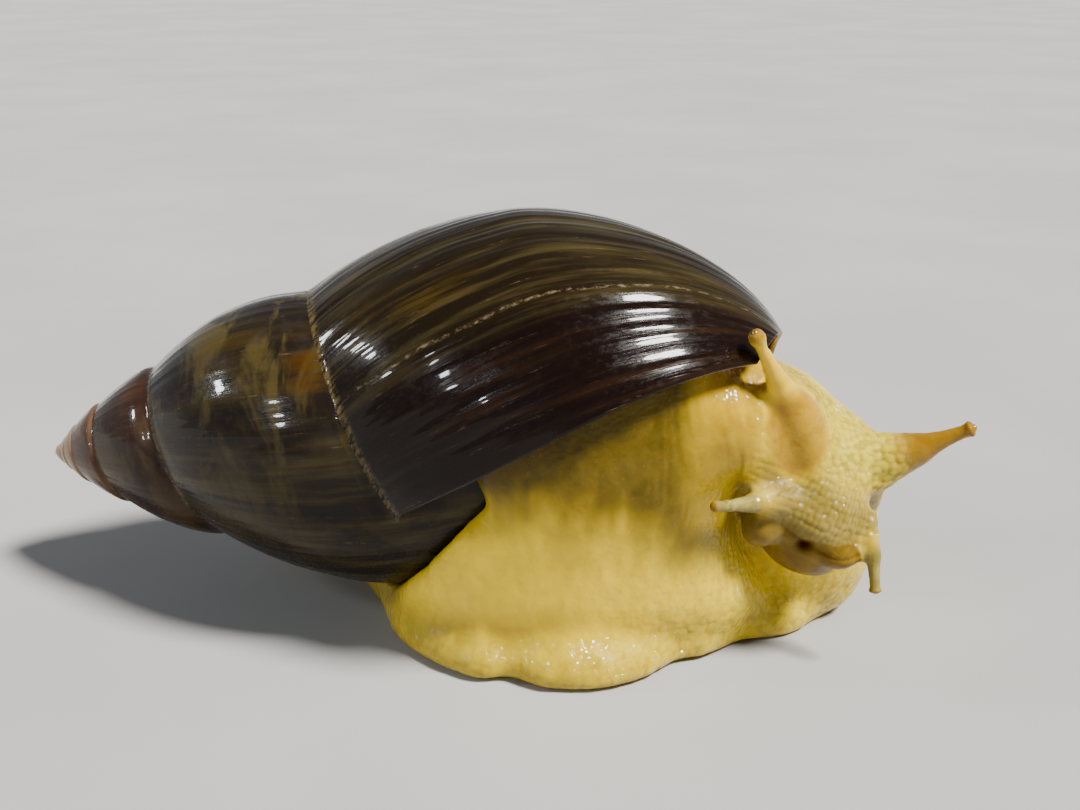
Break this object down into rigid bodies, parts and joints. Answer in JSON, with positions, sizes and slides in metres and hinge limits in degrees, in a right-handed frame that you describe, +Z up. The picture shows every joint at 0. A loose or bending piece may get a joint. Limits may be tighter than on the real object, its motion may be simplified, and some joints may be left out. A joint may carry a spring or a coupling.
{
  "type": "giant african land snail",
  "caption": "Life-size display snail: a long pointed spiral shell on a broad creeping foot, head turned to one side with its feelers out.",
  "frame": {"origin": "centre of the bounding box in plan, on the floor under the sole", "axes": "+X from the shell's tip toward the head end, +Z up; the face looks toward -Y"},
  "size_m": [0.1736, 0.0748, 0.0778],
  "materials": {
    "shell": "gloss, streaked dark brown",
    "skin_foot": "wet, golden yellow",
    "skin_body": "wet, greyish cream",
    "skin_neck": "wet, bright yellow",
    "skin_head": "wet, cream, knobbled",
    "feeler": "wet, amber",
    "eye": "gloss, dark amber"
  },
  "bodies": {
    "root": {"shell": "shell", "foot": "skin_foot", "tail": "skin_foot", "body": "skin_body", "neck": "skin_neck", "head": "skin_head", "oral_lobe_right": "skin_head", "oral_lobe_left": "skin_head", "upper_tentacle_right": "feeler", "upper_tentacle_left": "feeler", "lower_tentacle_right": "feeler", "lower_tentacle_left": "feeler", "eye_right": "eye", "eye_left": "eye"}
  },
  "joints": []
}
